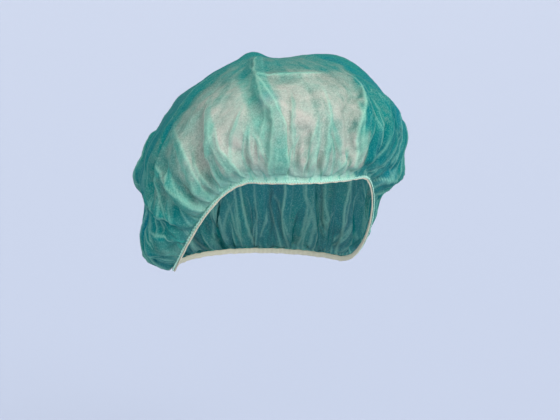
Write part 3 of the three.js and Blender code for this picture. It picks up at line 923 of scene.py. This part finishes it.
def elasticMaterial():
    material, tree = newMaterial("braided_elastic")
    uv = addNode(tree, "ShaderNodeUVMap", uv_map="flat")
    ribs = {"Vector": uv, "Scale": braid["ribs"], "Distortion": 0.6, "Detail": 1}
    ribs = addNode(tree, "ShaderNodeTexWave", ribs, bands_direction="X").outputs["Fac"]
    dust = {"Vector": uv, "Scale": braid["dust"], "Detail": 2}
    dust = addNode(tree, "ShaderNodeTexNoise", dust).outputs["Fac"]
    colour = addNode(tree, "ShaderNodeValToRGB", {0: ribs}, braid["ribTones"])
    dust = addNode(tree, "ShaderNodeValToRGB", {0: dust}, braid["dustTones"])
    multiply = {"data_type": "RGBA", "blend_type": "MULTIPLY"}
    colour = addNode(tree, "ShaderNodeMix", {0: braid["dustShare"], 6: colour, 7: dust}, **multiply)
    bump = {"Height": ribs, "Distance": braid["ribHeight"], "Strength": 0.5}
    bump = addNode(tree, "ShaderNodeBump", bump)
    surface = addNode(tree, "ShaderNodeBsdfPrincipled", {
        "Base Color": colour, "Roughness": braid["roughness"], "Normal": bump,
        "Specular IOR Level": braid["specular"],
    })
    addNode(tree, "ShaderNodeOutputMaterial", {"Surface": surface})
    return material


# Textured polyester thread, pale mint: soft and dull, with a fine twist
thread = {
    "twist": 900.0, "tones": [(0.0, "#93cfb9"), (1.0, "#c9ebdb")], "twistHeight": 0.0001,
    "roughness": 0.7, "sheen": 0.2,
}


def threadMaterial():
    material, tree = newMaterial("polyester_thread")
    uv = addNode(tree, "ShaderNodeUVMap", uv_map="flat")
    twist = {"Vector": uv, "Scale": thread["twist"], "Distortion": 1.0}
    twist = addNode(tree, "ShaderNodeTexWave", twist, bands_direction="DIAGONAL").outputs["Fac"]
    colour = addNode(tree, "ShaderNodeValToRGB", {0: twist}, thread["tones"])
    bump = {"Height": twist, "Distance": thread["twistHeight"], "Strength": 0.5}
    bump = addNode(tree, "ShaderNodeBump", bump)
    surface = addNode(tree, "ShaderNodeBsdfPrincipled", {
        "Base Color": colour, "Roughness": thread["roughness"], "Normal": bump,
        "Sheen Weight": thread["sheen"],
    })
    addNode(tree, "ShaderNodeOutputMaterial", {"Surface": surface})
    return material


crownCloth.data.materials.append(spunbondMaterial())
elasticStrip.data.materials.append(elasticMaterial())
overlock.data.materials.append(threadMaterial())
for piece, name in ((crownCloth, "cloth"), (elasticStrip, "elastic"), (overlock, "cloth")):
    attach(piece, "root")
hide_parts("crown")
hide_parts("elastic_band")
print("materials done")

# Floor, light and camera
studio = {
    "floorDrop": 0.30, "floorHalf": 40.0, "floorColour": "#a8b1c5", "room": 0.78, "roomColour": "#f1f2f4",
    # each wide sun: where it shines from, its strength and how wide it is; suns light the whole floor evenly
    "suns": [
        ("keySun", (0.5, -1.3, 1.0), 2.2, 45),
        ("fillSun", (-1.1, -0.9, 0.3), 0.9, 70),
        ("frontSun", (0.05, -1.4, 0.15), 2.5, 70),
        ("backSun", (0.7, 1.2, 0.7), 0.8, 80),
    ],
}
half = studio["floorHalf"]
corners = np.array([(-half, -half, 0), (half, -half, 0), (half, half, 0), (-half, half, 0)])
floor = meshFrom("floor", corners - (0, 0, studio["floorDrop"]), np.array([[0, 1, 2, 3]]))
floorPaint, tree = newMaterial("painted_floor")
surface = addNode(tree, "ShaderNodeBsdfPrincipled", {"Base Color": studio["floorColour"], "Roughness": 0.9})
addNode(tree, "ShaderNodeOutputMaterial", {"Surface": surface})
floor.data.materials.append(floorPaint)


# Turns a lamp or the camera at a place so that its own -Z looks at the target
def lookAt(piece, place, target):
    direction = (target - place) / np.linalg.norm(target - place)
    right = unit(np.cross(direction, (0, 0, 1.0)))
    up = np.cross(right, direction)
    rows = [(right[k], up[k], -direction[k], place[k]) for k in range(3)]
    piece.matrix_world = Matrix(rows + [(0, 0, 0, 1)])


for name, place, strength, width in studio["suns"]:
    data = bpy.data.lights.new(name, "SUN")
    data.energy, data.angle = strength, math.radians(width)
    lamp = bpy.data.objects.new(name, data)
    bpy.context.scene.collection.objects.link(lamp)
    lookAt(lamp, np.array(place), np.zeros(3))
world = bpy.data.worlds.new("studio")
world.use_nodes = True
background = world.node_tree.nodes["Background"]
background.inputs["Color"].default_value = linear(studio["roomColour"])
background.inputs["Strength"].default_value = studio["room"]
bpy.context.scene.world = world
bpy.context.scene.view_settings.view_transform = "Standard"

# degrees and metres, with the lens in mm
view = {"azimuth": -20.0, "elevation": 8.0, "distance": 1.3, "aside": 0.00615, "above": 0.0077, "lens": 108.6}
a, e = math.radians(view["azimuth"]), math.radians(view["elevation"])
back = np.array([math.sin(a) * math.cos(e), -math.cos(a) * math.cos(e), math.sin(e)])
right = np.array([math.cos(a), math.sin(a), 0.0])
target = right * view["aside"] + np.cross(back, right) * view["above"]
data = bpy.data.cameras.new("camera")
data.lens, data.sensor_width = view["lens"], 36.0
cameraObject = bpy.data.objects.new("camera", data)
bpy.context.scene.collection.objects.link(cameraObject)
lookAt(cameraObject, target + back * view["distance"], target)
bpy.context.scene.camera = cameraObject

bpy.context.view_layer.update()
print("scene done")
